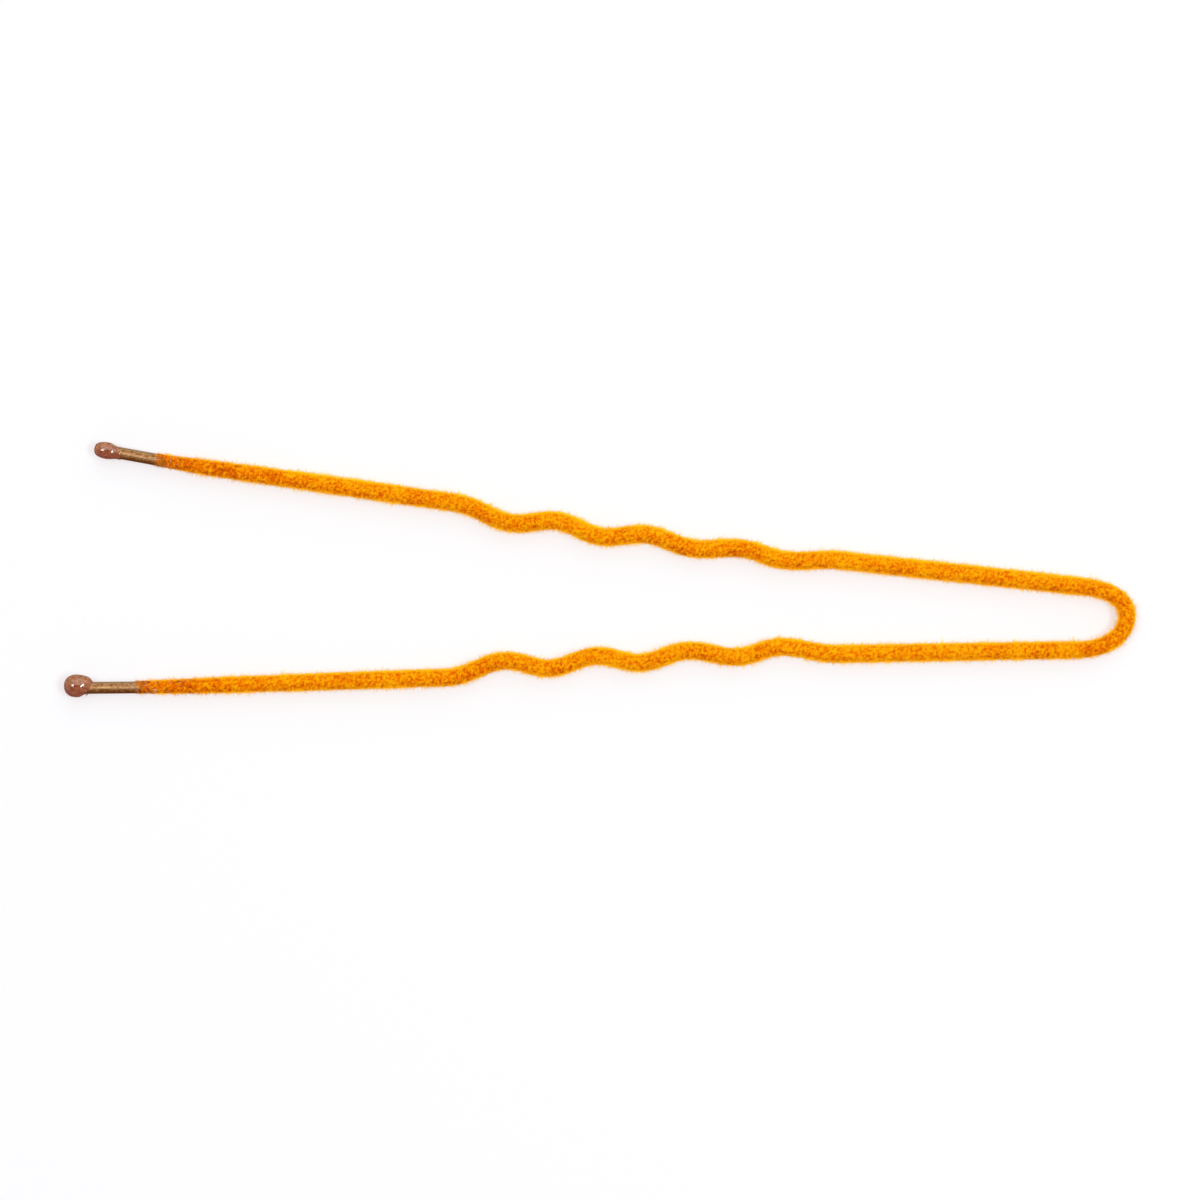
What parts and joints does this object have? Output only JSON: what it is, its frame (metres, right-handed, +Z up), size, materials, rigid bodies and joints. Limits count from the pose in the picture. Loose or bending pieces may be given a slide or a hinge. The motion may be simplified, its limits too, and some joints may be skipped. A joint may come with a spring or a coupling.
{
  "type": "hairpin",
  "caption": "U-shaped spring-wire hairpin with waved legs, a flocked velvet coat and dipped resin tips. The legs flex apart and together about the bow.",
  "frame": {"origin": "centre of the bounding box, on the surface the pin lies on, under the ball tip", "axes": "+X along the pin towards the bow, +Y towards the left leg (the one with the long drop tip), +Z up from the surface the pin lies on"},
  "size_m": [0.085, 0.0204, 0.0018],
  "materials": {
    "bronze_wire": "bronze lacquer over spring steel, satin",
    "flocking_glue": "thin dried adhesive, matte",
    "orange_flock": "short upright velvet pile",
    "tip_resin": "dipped resin, glossy, slightly see-through"
  },
  "bodies": {
    "bow": {"wire_bow": "bronze_wire", "glue_bow": "flocking_glue", "flock_bow": "orange_flock"},
    "left_leg": {"wire_left_leg": "bronze_wire", "glue_left_leg": "flocking_glue", "flock_left_leg": "orange_flock", "drop_tip_left": "tip_resin"},
    "right_leg": {"wire_right_leg": "bronze_wire", "glue_right_leg": "flocking_glue", "flock_right_leg": "orange_flock", "ball_tip_right": "tip_resin"}
  },
  "joints": [
    {"name": "left_leg_flex", "type": "hinge", "parent": "bow", "child": "left_leg", "pos_m": [0.02918, 0.003, 0.00092], "axis": [0, 0, -1], "range_deg": [-6, 10], "stiffness_Nm_per_rad": 0.22},
    {"name": "right_leg_flex", "type": "hinge", "parent": "bow", "child": "right_leg", "pos_m": [0.02918, -0.00314, 0.00092], "axis": [0, 0, 1], "range_deg": [-6, 10], "stiffness_Nm_per_rad": 0.22}
  ]
}
